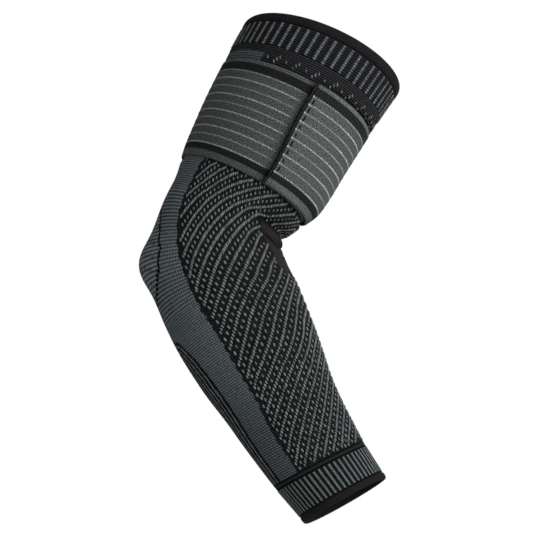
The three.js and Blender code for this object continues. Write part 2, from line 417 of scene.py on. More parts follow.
# Stitches at the given points, each along its own direction
def stitchPiece(name, points, down, out, look, material, size=None, tone=None):
    count = len(points)
    mesh = bpy.data.meshes.new(name)
    mesh.vertices.add(count)
    mesh.vertices.foreach_set("co", points.reshape(-1).astype(np.float32))
    for title, value in (("down", down), ("out", out)):
        attribute = mesh.attributes.new(title, "FLOAT_VECTOR", "POINT")
        attribute.data.foreach_set("vector", value.reshape(-1).astype(np.float32))
    for title, value in (("size", size), ("tone", tone)):
        attribute = mesh.attributes.new(title, "FLOAT", "POINT")
        values = np.ones(count) if value is None else value
        attribute.data.foreach_set("value", values.astype(np.float32))
    seed = bpy.data.objects.new(name + "_seed", mesh)
    bpy.context.scene.collection.objects.link(seed)
    modifier = seed.modifiers.new("stitches", "NODES")
    modifier.node_group = stitchSetter
    sockets = {item.name: item.identifier for item in stitchSetter.interface.items_tree}
    for title in ("Width", "Length", "Height"):
        modifier[sockets[title]] = look[title.lower()] * mm
    modifier[sockets["Yarn"]] = material
    graph = bpy.context.evaluated_depsgraph_get()
    made = bpy.data.meshes.new_from_object(seed.evaluated_get(graph))
    bpy.data.objects.remove(seed)
    made.name = name
    for title in ("down", "out", "size"):
        if title in made.attributes:
            made.attributes.remove(made.attributes[title])
    return finished(name, made, material)


# Camera at the photograph's viewing angle

view = {
    "azimuth": 1.7,
    "elevation": -13.5,
    "roll": -0.4,
    "distance": 900,
    "focal": 900 / 0.68,   # pixels
    "middle": (208.7, 259.6),   # pixel at which the elbow's centre shows
    "frame": 535,
}


def placeCamera():
    az, el, roll = (math.radians(view[k]) for k in ("azimuth", "elevation", "roll"))
    back = Vector((math.sin(az) * math.cos(el), -math.cos(az) * math.cos(el), math.sin(el)))
    level = Vector((0, 0, 1)).cross(back).normalized()
    upright = back.cross(level)
    right = math.cos(roll) * level + math.sin(roll) * upright
    up = math.cos(roll) * upright - math.sin(roll) * level
    perPixel = view["distance"] / view["focal"]
    aside = (view["middle"][0] - view["frame"] / 2) * perPixel
    above = (view["frame"] / 2 - view["middle"][1]) * perPixel
    place = (back * view["distance"] - right * aside - up * above) * mm
    lens = bpy.data.cameras.new("camera")
    lens.sensor_width = 36
    lens.lens = view["focal"] / view["frame"] * 36
    camera = bpy.data.objects.new("camera", lens)
    camera.matrix_world = Matrix((
        (right.x, up.x, back.x, place.x),
        (right.y, up.y, back.y, place.y),
        (right.z, up.z, back.z, place.z),
        (0, 0, 0, 1)))
    bpy.context.scene.collection.objects.link(camera)
    bpy.context.scene.camera = camera


placeCamera()
print("camera placed")

# The knit tube

knit = {
    "black": "#202022",
    "top": "#434347",      # finely ribbed, between the strap and the cuff
    "topUnder": 3,         # runs on under the strap as far as this
    "crook": "#363336",
    "strip": "#7b858a",
    "patch": "#8f979b",
    "panel": "#131415",
    "panelLine": "#7e8488",
    "seam": "#0e0e10",
    "seamWidth": 1.5,
    "band": "#131415",     # above the lower cuff, with a thin line in it
    "bandHeight": 4.5,
    "bandLine": "#303336",
    "bandLineAt": 2.2,
    "bandLineWidth": 1.4,
    # the inside of the tube: plain knit, painted darker as its shade
    "inner": "#101012",
    "speckle": 0.8,
    "uneven": 0.12,
    "blackBand": 3.3,      # degrees between the strip and the lattice
    "tooth": 0.35,         # the strip's edge steps in and out by these degrees
    "toothGap": 3.7,
    "stripFade": (0.28, 40, 130),   # how much darker it gets down the forearm, and from where to
    "stripTopFade": 0.25,
    "meshLeast": 0.35,     # how open the strip's knit is above the elbow, and where it changes
    "meshOpens": (-12, 8),
    "meshCloses": (105, 122),
    "meshSides": (132, 146),
    "lineGap": 4.2,        # millimetres from one panel line to the next
    "lineWidth": 1.6,
    # painted shadow in the creases of the crook: along at the crook, its change for each degree of
    # side, side and width
    "creaseShadows": [(-33.6, 0, 70, 3.0), (-12.0, -0.24, 54, 4.2)],
    "creaseShadowDepth": 0.97,
    "waveGap": 5.8,
    "waveWidth": 1.1,
    "waveShade": 0.45,
    "waveSwing": (0.9, 0.8),   # millimetres up and down, and how often round the sleeve
    "waveSlope": 0.12,
    "waveBreaks": 0.4,         # share of each wave that is left out
}

# How deep the rows, the holes and the fine rows of each zone are
reliefs = {
    "black": (0.2, 0, 0),
    "top": (0, 0, 1),
    "patch": (0.8, 0, 0),
    "panel": (0.5, 0, 0),
    "crook": (0.3, 0, 0),
    "band": (0.3, 0, 0),
    "inner": (0.3, 0, 0),
}

# along and side of each zone's edge
stripEdge = np.array([
    (-140, 181), (-132.1, 181), (-132, 117.5), (-80, 120), (-52, 126.5),
    (-40, 128.5), (-31, 129.5), (-22, 128.5), (-13, 127), (-5, 123.5), (3, 121), (13, 119),
    (23, 117), (37, 116), (53, 113.5), (70, 113), (104, 113), (118, 116), (130, 117),
    (143, 117.5), (160, 118.5)])
patchEdge = np.array([
    (-20, 181), (-19.5, 172), (-16.6, 156.5), (-9, 146.5), (0, 138.5), (8, 142), (14.4, 154.5),
    (18, 166.5), (19, 174), (19.5, 181)])
panelEdge = np.array([
    (38, 181), (39, 172), (42.5, 158), (50, 152), (59, 147), (72.5, 143.4), (87.5, 142),
    (102.5, 143.4), (117.5, 145), (132.5, 146.4), (160, 147)])
crookEdge = np.array([
    (-34, -1), (-33.5, 56), (-31, 54), (-21, 49), (-14, 44), (1, 36.5), (29, 32), (35, 26),
    (36.4, 15.5), (37, -1)])

# Guide lines of the lattice: along where each one meets these sides
guideSides = np.array([0, 30, 40, 50, 60, 70, 80, 90, 100, 110, 130])
guides = np.array([
    (-156, -142, -134, -126, -118, -110, -101, -91, -79, -67, -43),
    (-142, -129, -121, -113, -105, -97, -88, -78, -67, -55, -31),
    (-130, -116, -108, -100, -92, -84, -75, -66, -55, -43, -19),
    (-112, -99, -92, -85, -78, -71, -63, -54, -43, -31, -7),
    (-95, -82, -76, -70, -64, -58, -51, -42.7, -31.8, -17.2, 12),
    (-84, -71, -66, -61, -56, -50, -42, -32.5, -18.3, -4.2, 24),
    (-76, -63, -59, -54, -48.5, -40.7, -32.8, -18.7, -4.5, 9, 36),
    (-70, -57, -52, -45.5, -39, -33.5, -18.5, -3.5, 10, 20.2, 41),
    (-62.5, -47.5, -41.8, -36.4, -33.5, -18.5, -1.8, 12, 23, 31.2, 48),
    (-54, -38.8, -33.8, -30, -19.2, 1.5, 16.8, 26.7, 34.5, 42.8, 59.5),
    (-44.5, -31.5, -27, -19.5, 6.8, 22.5, 31, 38, 46, 53.8, 69.5),
    (-37, -26, -14, 12.9, 28.5, 35, 41.8, 49.2, 58, 66, 82),
    (-30, 0, 22.9, 33, 38.8, 44.8, 52.2, 61.2, 69.7, 78, 94.5),
    (17.5, 31, 36.5, 42, 48, 55.5, 64.5, 73, 80, 88, 104),
    (26, 39.3, 45.2, 51, 58.5, 68, 76, 82.7, 89.1, 96, 110),
    (34, 47.5, 53.8, 61.8, 71, 79, 85.5, 91.7, 97.6, 104, 117),
    (43, 56.3, 65, 74, 81.7, 87.8, 93.8, 99.7, 105.7, 112, 124.5),
    (54.5, 68, 77, 84.2, 90, 95.7, 101.8, 108, 114, 120, 132),
])
# From here to the cuff the lines repeat
lastGuide = np.array([66, 79.3, 86.2, 92, 97.5, 103.7, 110, 116.2, 122.2, 128.5, 141])
guidePitch = np.array([8, 7.9, 7.6, 7.7, 7.9, 7.95, 8.05, 8.2, 8.4, 8.6, 9])
guides = np.concatenate([guides, lastGuide + guidePitch * np.arange(12)[:, None]])


def edgeAt(table, along, outside=1000.0):
    return np.interp(along, table[:, 0], table[:, 1], left=outside, right=outside)


# Distance in millimetres from an edge, its mirror image past the back of the arm included
def outlineDistance(table, along, side, wide, steps=160):
    places = np.linspace(table[0, 0], table[-1, 0], steps)
    sides = np.minimum(edgeAt(table, places), 180)
    nearest = np.full(along.shape, 1000.0)
    for at, edge in zip(places, sides):
        for mirrored in (edge, 360 - edge):
            nearest = np.minimum(nearest, np.hypot((side - mirrored) * wide, along - at))
    return nearest


# Colour and relief of every cell of the knit, zone upon zone
def knitChart(along, side, draw):
    perDegree = widthAt(along) * sleeve["roundness"] * math.pi / 360
    color = np.empty(along.shape + (3,))
    relief = np.empty(along.shape + (3,))

    def lay(zone, name):
        color[zone] = linear(knit[name])
        relief[zone] = reliefs[name]

    lay(side >= 0, "black")
    color *= 1 + knit["speckle"] * (draw[..., None] - 0.4)
    top = along < strap["top"] + knit["topUnder"]
    lay(top, "top")
    teeth = np.where(np.floor(along / knit["toothGap"]) % 2 > 0, knit["tooth"], -knit["tooth"])
    strip = side > edgeAt(stripEdge, along) + teeth
    color[strip] = linear(knit["strip"])
    fade, start, end = knit["stripFade"]
    shade = 1 - fade * smoothStep(along, start, end) - knit["stripTopFade"] * top
    color[strip] *= shade[strip][:, None]
    opened = knit["meshLeast"] + (1 - knit["meshLeast"]) * smoothStep(along, *knit["meshOpens"])
    opened = opened * (1 - smoothStep(along, *knit["meshCloses"]))
    opened = opened * (1 - smoothStep(side, *knit["meshSides"]))
    relief[strip] = np.stack([0.85 - 0.5 * opened, opened, 0 * opened], -1)[strip]
    patch = side > edgeAt(patchEdge, along)
    lay(patch, "patch")
    # Dark wavy courses cross the elbow patch
    swing, often = knit["waveSwing"]
    wavy = along + swing * np.sin(side * often) + knit["waveSlope"] * (side - 160)
    wave = patch & (wavy % knit["waveGap"] < knit["waveWidth"]) & (draw > knit["waveBreaks"])
    color[wave] *= knit["waveShade"]
    seam = outlineDistance(patchEdge, along, side, perDegree) < knit["seamWidth"] / 2
    color[seam] = linear(knit["seam"])
    panel = side > edgeAt(panelEdge, along)
    lay(panel, "panel")
    inside = outlineDistance(panelEdge, along, side, perDegree)
    line = panel & (inside % knit["lineGap"] > knit["lineGap"] - knit["lineWidth"])
    color[line] = linear(knit["panelLine"])
    lay(side < edgeAt(crookEdge, along, -1), "crook")
    # Painted shadow: the creases of the crook are darkened in the colour
    for at, slope, reach, wide in knit["creaseShadows"]:
        far = (along - at - slope * side) / wide
        dark = knit["creaseShadowDepth"] * np.exp(-far ** 2 - (side / reach) ** 6)
        color *= (1 - dark)[..., None]
    band = along > sleeve["bodyLow"] - knit["bandHeight"]
    lay(band, "band")
    far = np.abs(along - sleeve["bodyLow"] + knit["bandLineAt"])
    color[band & (far < knit["bandLineWidth"] / 2)] = linear(knit["bandLine"])
    color *= (1 + knit["uneven"] * (draw - 0.5))[..., None]
    return color, relief


def buildKnit():
    # Circular knit with a drawn-in elastic thread: a dull ground of fine stitches. A unit of the
    # map is one mesh column or row. The real stitches, half as big, would not show
    look = {
        "roughness": 0.85, "walesPerUnit": 1.0, "coursesPerUnit": 1.6,
        "stitchShare": 0.35, "stitchShade": 0.45, "rowShade": 1.0, "rowsPerUnit": 0.9,
        "finePerUnit": 1.02, "holesPerUnit": 0.45, "holeShade": 1.0,
        "fleckScale": 700, "fleck": 0.22, "bump": 0.9, "bumpDepth": 0.35,
    }
    wales, courses = sleeve["wales"], sleeve["courses"]
    places = np.linspace(sleeve["bodyTop"], sleeve["bodyLow"], courses + 1)
    turns = np.arange(wales) * 360 / wales - 180
    outside = skinPoints(places[:, None], turns[None, :])
    insideRows = np.linspace(sleeve["bodyLow"], sleeve["bodyTop"], sleeve["innerRows"])
    inside = skinPoints(insideRows[:, None], turns[None, :], -sleeve["wall"])
    points = np.concatenate([outside, inside])
    down = np.concatenate([
        (places - sleeve["bodyTop"]) / (places[1] - places[0]),
        courses + 1 + (insideRows[0] - insideRows) / (places[1] - places[0]),
        [2 * courses + 3]])
    corners = np.meshgrid(np.arange(wales + 1.0), down)
    middles = np.concatenate([
        (places[1:] + places[:-1]) / 2, [sleeve["bodyLow"]],
        (insideRows[1:] + insideRows[:-1]) / 2, [sleeve["bodyTop"]]])
    draw = np.random.default_rng(7).random((len(points), wales))
    around = (np.arange(wales) + 0.5) * 360 / wales - 180
    along, around = np.meshgrid(middles, around, indexing="ij")
    color, relief = knitChart(along, np.abs(around), draw)
    color[courses + 1:] = linear(knit["inner"])   # the inner wall is plain, and painted darker as the shade inside the tube
    relief[courses + 1:] = reliefs["inner"]
    material = knitMaterial("elastic jacquard knit", look)
    piece = gridPiece("sleeve_knit", points, material, corners,
                      {"chart": color, "relief": relief})
    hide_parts("sleeve_body")


buildKnit()
print("knit tube made")


# Raised stitches of the lattice

lattice = {
    # width, length and height of each kind's stitches in millimetres, and their tone
    "kinds": [("lattice_stitches", 1.4, 3.0, 1.0, 1), ("lattice_dots", 1.5, 3.0, 1.0, 0.9),
              ("motif_stitches", 1.3, 2.8, 0.9, 0.9)],
    "steepPitch": (-0.2, 0),   # beside the crook the stitches of the lines are closer
    "steepSmall": 0.2,
    "steepLean": 0.3,
    "upperSmall": 0.16,
    "upperTo": (-45, 5),
    "girthShare": 0.45,  # how far a stitch's size follows the sleeve's width
    "pitchAt": (-40, 0, 40, 110, 158),
    "pitch": (1.45, 1.7, 2.15, 2.15, 1.8),
    "lean": 22,          # degrees from the wale, above the elbow
    "leanTo": (20, 90),  # upright from here on
    "lastSide": 130,
    "fromStrap": 0.5,    # the lattice starts and ends so far from the strap and the lower cuff
    "fromCuff": 5.3,
    "fromCrook": 1,
    "stray": 0.12,
    "proud": 0.12,
    "sizes": (0.9, 1.1),   # drawn between these for every stitch
    "tones": (0.7, 1.3),
    # A plied yarn, thicker than the ground's and paler, so each stitch shows as a bead
    "yarn": {"color": "#6c7272", "roughness": 0.8, "twistScale": 1500},
}

motif = {
    "gap": 14.4,         # degrees from one group to the next
    "first": 3.5,
    "last": 116,
    "group": [(-131.6, 0), (-129.8, 1.6), (-128, 3.2), (-129.6, 8.6)],   # along and side
}


def nearCrook(along, side):
    return (1 - smoothStep(side, 45, 75)) * (1 - smoothStep(np.abs(along), 40, 60))


# Stitches follow every guide line, and dots the line half way to the next
def latticePlaces():
    sides = np.arange(0, lattice["lastSide"] + 0.1, 0.25)
    lines = np.stack([smoothValue(guideSides, row, sides) for row in guides])
    found = []
    for number in range(2 * len(lines) - 1):
        half = number % 2
        along = (lines[number // 2] + lines[number // 2 + half]) / 2
        step = np.linalg.norm(np.diff(skinPoints(along, -sides), axis=0), axis=1) / mm
        pitch = np.interp(along[1:], lattice["pitchAt"], lattice["pitch"]) * (1 + half)
        pitch = pitch * (1 + lattice["steepPitch"][half] * nearCrook(along[1:], sides[1:]))
        run = np.concatenate([[0], np.cumsum(step / pitch)])
        counts = np.arange(0.5 * (number % 3), run[-1])
        places = [np.interp(counts, run, value) for value in (along, sides)]
        found.append(np.stack([*places, half + 0 * counts], 1))
    found = np.concatenate(found)
    along, side = found[:, 0], found[:, 1]
    first = np.maximum(edgeAt(crookEdge, along, -1) + lattice["fromCrook"], 2)
    kept = (side > first) & (side < edgeAt(stripEdge, along) - knit["blackBand"])
    kept &= along > strap["low"] + lattice["fromStrap"]
    kept &= along < sleeve["bodyLow"] - lattice["fromCuff"]
    return found[kept]


# Groups of stitches just above the strap: a short slanting row, then a single dot
def motifPlaces():
    starts = np.arange(0, 180, motif["gap"]) + motif["first"]
    places = np.array([
        (at, start + aside, 2.0) for start in starts for at, aside in motif["group"]])
    return places[places[:, 1] < motif["last"]]


def buildLattice():
    places = np.concatenate([latticePlaces(), motifPlaces()])
    places = np.concatenate([places * (1, -1, 1), places])
    draw = np.random.default_rng(11)
    material = yarnMaterial("grey textured yarn", lattice["yarn"])
    count = 0
    for kind, (name, *shape, shade) in enumerate(lattice["kinds"]):
        along, around, half = places[places[:, 2] == kind].T
        along = along + lattice["stray"] * draw.standard_normal(len(along))
        around = around + lattice["stray"] * draw.standard_normal(len(along))
        down, aside, out = skinAxes(along, around)
        lean = np.radians(lattice["lean"]) * (1 - smoothStep(along, *lattice["leanTo"]))
        crook = nearCrook(along, np.abs(around))
        lean = lean * (1 + lattice["steepLean"] * crook) * np.where(around < 0, 1, -1)
        direction = down * np.cos(lean)[:, None] + aside * np.sin(lean)[:, None]
        girth = widthAt(along) / sleeve["elbowWidth"]
        size = 1 + lattice["girthShare"] * (girth - 1)
        size = size * draw.uniform(*lattice["sizes"], len(along))
        size = size * (1 - lattice["steepSmall"] * crook)
        upper = 1 - smoothStep(along, *lattice["upperTo"])
        size = size * (1 - lattice["upperSmall"] * upper)
        tone = draw.uniform(*lattice["tones"], len(along)) * shade
        look = dict(zip(("width", "length", "height"), shape))
        piece = stitchPiece(name, skinPoints(along, around, lattice["proud"]), direction, out,
                            look, material, size, tone)
        count += len(piece.data.polygons)
    return count


print("lattice stitches:", buildLattice(), "faces")


# Cuffs: lengthwise ribs, with raised grey stitches on each rib

cuffs = {
    "ribs": 56,
    "ribHeight": 0.45,
    "facets": 8,         # mesh columns for each rib
    "rows": 17,
    "upper": (-155.35, -138.03),
    "lower": (158.03, 178.35),
    "black": "#2c2c30",
    "lowerGround": "#1e2021",
    "upperStitch": {"width": 2.6, "length": 1.9, "height": 1.1},
    "upperPitch": 1.65,
    "upperStart": (1.1, 0.9),   # from the hem, and how much later some ribs start
    "upperEnd": 0.6,
    "lowerStitch": {"width": 0.88, "length": 1.7, "height": 0.6},
    "lowerPitch": 1.4,
    "lowerMargin": (0.9, 0.3),
    "legAside": 0.55,    # degrees from the rib's middle to each leg of a stitch
    "legLean": 0.3,
    "sunk": (0.1, 0.15),   # how far the stitches sink into the upper and the lower ribs
    "groundTones": (0.85, 1.15),
    "upperTones": (0.65, 1.15),
    "lowerTones": (0.9, 1.3),
    # The lattice's yarn again, a little darker where the ribs are stretched
    "yarn": {"color": "#626869", "roughness": 0.8, "twistScale": 1500},
}


def cuffTube(name, node, ends, ground, look):
    turns = cuffs["ribs"] * cuffs["facets"]
    wave = np.cos(np.arange(turns) / cuffs["facets"] * 2 * math.pi) / 2
    places = np.linspace(*ends, cuffs["rows"])
    around = np.arange(turns) * 360 / turns - 180
    outside = skinPoints(places[:, None], around[None, :], cuffs["ribHeight"] * wave[None, :])
    inside = skinPoints(places[::-1][:, None], around[None, :], -sleeve["wall"])
    points = np.concatenate([outside, inside])
    rows = len(points)
    corners = np.meshgrid(np.arange(turns + 1.0) / cuffs["facets"], np.arange(rows + 1.0))
    draw = np.random.default_rng(5)
    color = np.array(linear(ground)) * draw.uniform(*cuffs["groundTones"], (rows, turns, 1))
    relief = np.zeros((rows, turns, 3)) + (look["rows"], 0, 0)
    piece = gridPiece(name, points, knitMaterial(look["name"], look), corners,
                      {"chart": color, "relief": relief})
    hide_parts(node)


def buildCuffs():
    # Rib knit: the same dull yarn in upright ribs, with a shadowed furrow between them. Its
    # courses, 1.5 mm high, are twice the real ones, which would not show
    look = {
        "name": "black rib knit", "rows": 0.85, "roughness": 0.88, "walesPerUnit": 6.0,
        "coursesPerUnit": 1.0, "stitchShare": 0.6, "stitchShade": 0.35, "rowShade": 0.95,
        "rowsPerUnit": 0.7, "finePerUnit": 1, "holesPerUnit": 1, "holeShade": 0,
        "fleckScale": 800, "fleck": 0.25, "bump": 0.8, "bumpDepth": 0.3,
    }
    cuffTube("upper_cuff_knit", "upper_cuff", cuffs["upper"], cuffs["black"], look)
    cuffTube("lower_cuff_knit", "lower_cuff", cuffs["lower"], cuffs["lowerGround"],
             {**look, "name": "grey rib knit", "rows": 0.3})
    material = yarnMaterial("grey rib yarn", cuffs["yarn"])
    draw = np.random.default_rng(3)
    ribs = np.arange(cuffs["ribs"]) * 360 / cuffs["ribs"] - 180
    first, late = cuffs["upperStart"]
    upper, lower = (cuffs["ribHeight"] / 2 - sunk for sunk in cuffs["sunk"])
    along, around = [], []
    for rib in ribs:
        start = cuffs["upper"][0] + first + late * draw.random()
        end = cuffs["upper"][1] + cuffs["upperEnd"] * (draw.random() - 1)
        places = np.arange(start, end, cuffs["upperPitch"])
        along.extend(places)
        around.extend([rib] * len(places))
    along, around = np.array(along), np.array(around)
    down, aside, out = skinAxes(along, around)
    tone = draw.uniform(*cuffs["upperTones"], len(along))
    stitchPiece("upper_cuff_stitches", skinPoints(along, around, upper), down, out,
                cuffs["upperStitch"], material, None, tone)
    first, last = cuffs["lowerMargin"]
    places = np.arange(cuffs["lower"][0] + first, cuffs["lower"][1] - last, cuffs["lowerPitch"])
    along, around, leg = (v.ravel() for v in np.meshgrid(places, ribs, [-1, 1]))
    around = around + leg * cuffs["legAside"]
    down, aside, out = skinAxes(along, around)
    direction = down - cuffs["legLean"] * leg[:, None] * aside
    tone = draw.uniform(*cuffs["lowerTones"], len(along))
    stitchPiece("lower_cuff_stitches", skinPoints(along, around, lower), direction, out,
                cuffs["lowerStitch"], material, None, tone)


buildCuffs()
print("cuffs made")


# Hems: the knit turned double in a flattened roll

hems = {
    "thickness": 3.2,
    "upper": (-162, -155.5),
    "lower": (178.5, 184),
    "clear": 0.15,       # between the roll and the cuff
    "flat": (0.8, 0.7),  # how square the roll is, along and across; 1 is round
    "color": "#252225",
    "tones": (0.9, 1.1),
    "columns": 320,
    "rows": 32,
}


def hemRoll(name, node, ends, material):
    turns, rows = hems["columns"], hems["rows"]
    middle, half = (ends[0] + ends[1]) / 2, (ends[1] - ends[0]) / 2 - hems["clear"]
    angle = np.arange(rows) / rows * 2 * math.pi
    flat, full = (np.sign(v) * np.abs(v) ** power
                  for v, power in zip((np.cos(angle), np.sin(angle)), hems["flat"]))
    places = middle - half * flat
    offset = -sleeve["wall"] / 2 + hems["thickness"] / 2 * full
    around = np.arange(turns) * 360 / turns - 180
    points = skinPoints(places[:, None], around[None, :], offset[:, None])
    corners = np.meshgrid(np.arange(turns + 1.0), np.arange(rows + 1.0) * 0.5)
    draw = np.random.default_rng(9)
    color = np.array(linear(hems["color"])) * draw.uniform(*hems["tones"], (rows, turns, 1))
    relief = np.zeros((rows, turns, 3)) + (0.1, 0, 0)
    piece = gridPiece(name, points, material, corners, {"chart": color, "relief": relief})
    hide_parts(node)


def buildHems():
    # Plain knit turned double: the smoothest and dullest of the knits, nearly black
    material = knitMaterial("plain hem knit", {
        "roughness": 0.9, "walesPerUnit": 1.0, "coursesPerUnit": 1.0,
        "stitchShare": 0.6, "stitchShade": 0.35, "rowShade": 0.2,
        "rowsPerUnit": 1, "finePerUnit": 1, "holesPerUnit": 1, "holeShade": 0,
        "fleckScale": 900, "fleck": 0.25, "bump": 0.7, "bumpDepth": 0.2,
    })
    hemRoll("upper_hem", "upper_welt", hems["upper"], material)
    hemRoll("lower_hem", "lower_welt", hems["lower"], material)


buildHems()
print("hems made")


# The strap

webbing = {
    "selvedge": "#4a4f4e",
    "band": "#1e1e20",
    "field": "#464a49",
    "line": "#8d9291",
    "foldEdge": "#0c0c0d",
    "foldRidge": "#2f3232",
    "foldRidgeAt": (0.9, 0.35),
    "lineWidth": 0.75,
    "linePitch": 6.16,
    "lineCount": 10,
    "firstLine": 9.2,
    "faint": 0.55,       # every second line is fainter
    "wave": (0.22, 2.2),   # millimetres aside, and from one wave of the line to the next
    "drift": 0.5,
    "linesFade": (8, 2),   # the lines fade out from here to here before the fold, in its painted shadow
    "edges": (2.9, 8.5, 64.9, 69.2),   # across the strap, from its top edge
    "warpGap": 0.9,
    "weftGap": 1.1,
    "grain": (0.8, 1.25, 1),
    "fleck": 0.85,
    "topLayer": 1.22,    # how much lighter the top layer is near its folded end, and where that ends
    "topTo": (80, 110),
    # painted highlight on the pale threads, and where it rises and falls
    "threadHighlight": 0.42,
    "threadHighlightAt": (30, 44, 60, 80),   # along the strap, from its folded end
    "edgeHighlight": 0.3,        # painted highlight: how much lighter the edges are
    "edgeHighlightAt": (4, 25, 60, 80),
    "shade": 0.4,        # painted shadow: how much darker the lower layer is where the fold meets it
    "foldShadowReach": 3.6,
    "boundTo": 2.1,      # the folded edge is bound in black as far as this
    "round": 0.8,
    "foldRound": 1.3,
    "edgeLeast": 0.12,   # share of the thickness that is left at the very edge
    "ridge": (0.16, 0.6),      # height and width of a woven line
    "puff": (0.5, 1.6, 1.0),   # height, place and width of the swell beside the fold
    "seam": (0.35, 4.6, 0.9),  # depth, place and width of the seam's groove
    "foldEnds": (3, 4, 2),     # the swell stops so far from both edges, over this width
    "dotsAt": 2.8,
}


# Columns along the strap, closer at its fold, and rows across it, closer at its edges
def strapColumns(fold=1.5, hem=12, tail=0.7):
    length = strapTurn / turnPerLength
    near = np.concatenate([np.linspace(0, fold, 7)[:-1], np.linspace(fold, hem, 15)[:-1]])
    return np.concatenate([near, np.linspace(hem, length - fold, 330), [length - tail, length]])


def strapAcross(edge=1.3):
    wide = strap["low"] - strap["top"]
    ends = np.array([0, 0.1, 0.3, 0.6, 0.9])
    return np.concatenate([ends, np.linspace(edge, wide - edge, 96), wide - ends[::-1]])


def strapFaces(turn):
    lift = 1 - smoothStep(turn, strap["overlap"], strap["overlap"] + strap["ramp"])
    inner = strap["gap"] + (doubleInner - strap["gap"]) * lift
    hem = turn < strap["hem"] * turnPerLength
    return np.where(hem, patchBase, inner), inner + strap["thickness"]


def buildStrap():
    along, across = strapColumns(), strapAcross()
    wide = strap["low"] - strap["top"]
    length = strapTurn / turnPerLength
    turn = along * turnPerLength
    inner, outer = (v[:, None] for v in strapFaces(turn))
    rounds = [np.clip(far / near, 0, 1) for far, near in (
        (along, webbing["foldRound"]), (length - along, webbing["round"]),
        (np.minimum(across, wide - across), webbing["round"]))]
    fold, tail, side = (np.sqrt(1 - (1 - share) ** 2) for share in rounds)
    full = webbing["edgeLeast"] + (1 - webbing["edgeLeast"]) * (fold * tail)[:, None] * side
    middle, half = (inner + outer) / 2, (outer - inner) / 2
    # The woven lines stand a little proud
    pitch = webbing["linePitch"]
    place = np.abs((across - webbing["firstLine"] + pitch / 2) % pitch - pitch / 2)
    field = (across > webbing["edges"][1]) & (across < webbing["edges"][2])
    high, wideLine = webbing["ridge"]
    ridge = high * np.exp(-(place / wideLine) ** 2) * field
    puff, seam = (rise * np.exp(-((along - at) / reach) ** 2)
                  for rise, at, reach in (webbing["puff"], webbing["seam"]))
    around = (strap["endAngle"] + turn)[:, None]
    down = strap["top"] + across[None, :]
    upper, lower, over = webbing["foldEnds"]
    inField = np.clip(np.minimum(across - upper, wide - lower - across) / over, 0, 1)
    top = middle + half * full + ridge[None, :] + (puff - seam)[:, None] * inField[None, :]
    top = skinPoints(down, around, top)
    base = skinPoints(down, around, middle - half * full)
    rings = np.concatenate([top, base[:, ::-1]], 1)   # one ring round the strap at each turn
    points = np.swapaxes(rings, 0, 1)                 # rows go round it, columns along it
    return along, across, points


